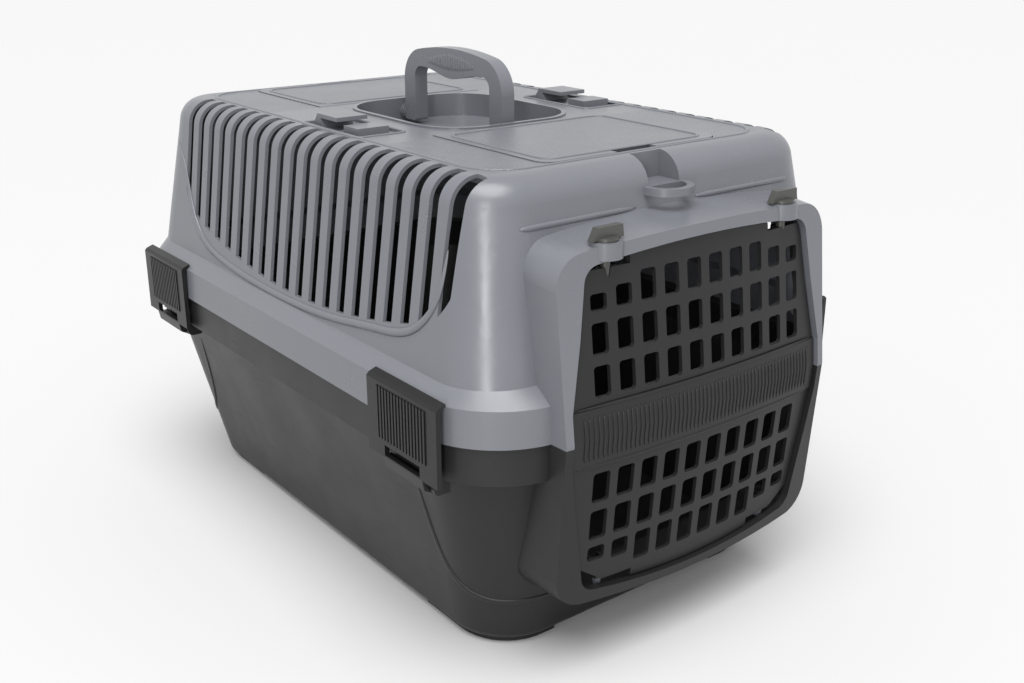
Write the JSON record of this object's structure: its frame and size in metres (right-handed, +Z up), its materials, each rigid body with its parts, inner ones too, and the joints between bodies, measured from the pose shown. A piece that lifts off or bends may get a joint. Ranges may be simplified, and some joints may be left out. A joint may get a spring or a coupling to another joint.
{
  "type": "pet carrier",
  "caption": "Hard plastic pet carrier: two half shells held by side clips, a grille door with turn latches, slotted sides, a fold-down carry handle and lidded roof compartments.",
  "frame": {"origin": "on the ground under the middle of the carrier's overall length and width", "axes": "+Z up, +Y from the door towards the rear wall, +X to the right of someone who faces the door from outside"},
  "size_m": [0.3684, 0.5456, 0.3805],
  "materials": {
    "grey": "satin moulded, cool grey",
    "charcoal": "satin moulded, charcoal",
    "latch": "satin moulded, dark grey",
    "pin": "satin moulded, cool grey"
  },
  "bodies": {
    "shell": {"lower_shell": "charcoal", "upper_shell": "grey", "handle_well": "grey", "front_compartment": "grey", "rear_compartment": "grey", "front_eyelet": "grey", "rear_eyelet": "grey", "left_belt_guide": "grey", "right_belt_guide": "grey", "left_door_pin": "pin", "right_door_pin": "pin"},
    "door": {"door": "charcoal"},
    "left_latch": {"left_door_latch": "latch"},
    "right_latch": {"right_door_latch": "latch"},
    "front_left_clip": {"front_left_clip": "charcoal"},
    "front_right_clip": {"front_right_clip": "charcoal"},
    "rear_left_clip": {"rear_left_clip": "charcoal"},
    "rear_right_clip": {"rear_right_clip": "charcoal"},
    "handle": {"carry_handle": "grey"},
    "front_lid": {"front_lid": "grey"},
    "rear_lid": {"rear_lid": "grey"}
  },
  "joints": [
    {"name": "door_swing", "type": "hinge", "parent": "shell", "child": "door", "pos_m": [0.08, -0.2536, 0.17], "axis": [0, 0, 1], "range_deg": [0, 110]},
    {"name": "left_latch_turn", "type": "hinge", "parent": "shell", "child": "left_latch", "pos_m": [-0.08, -0.2536, 0.297], "axis": [0, 0, 1], "range_deg": [0, 90]},
    {"name": "right_latch_turn", "type": "hinge", "parent": "shell", "child": "right_latch", "pos_m": [0.08, -0.2536, 0.297], "axis": [0, 0, 1], "range_deg": [0, 90]},
    {"name": "front_left_clip_swing", "type": "hinge", "parent": "shell", "child": "front_left_clip", "pos_m": [-0.1735, -0.1802, 0.14], "axis": [0, -1, 0], "range_deg": [0, 100]},
    {"name": "front_right_clip_swing", "type": "hinge", "parent": "shell", "child": "front_right_clip", "pos_m": [0.1735, -0.1802, 0.14], "axis": [0, 1, 0], "range_deg": [0, 100]},
    {"name": "rear_left_clip_swing", "type": "hinge", "parent": "shell", "child": "rear_left_clip", "pos_m": [-0.1735, 0.1978, 0.14], "axis": [0, -1, 0], "range_deg": [0, 100]},
    {"name": "rear_right_clip_swing", "type": "hinge", "parent": "shell", "child": "rear_right_clip", "pos_m": [0.1735, 0.1978, 0.14], "axis": [0, 1, 0], "range_deg": [0, 100]},
    {"name": "handle_fold", "type": "hinge", "parent": "shell", "child": "handle", "pos_m": [0, 0.0138, 0.3225], "axis": [0, 1, 0], "range_deg": [-85, 85]},
    {"name": "front_lid_hinge", "type": "hinge", "parent": "shell", "child": "front_lid", "pos_m": [0, -0.0699, 0.3304], "axis": [-1, 0, 0], "range_deg": [0, 95]},
    {"name": "rear_lid_hinge", "type": "hinge", "parent": "shell", "child": "rear_lid", "pos_m": [0, 0.0955, 0.3304], "axis": [1, 0, 0], "range_deg": [0, 95]}
  ]
}
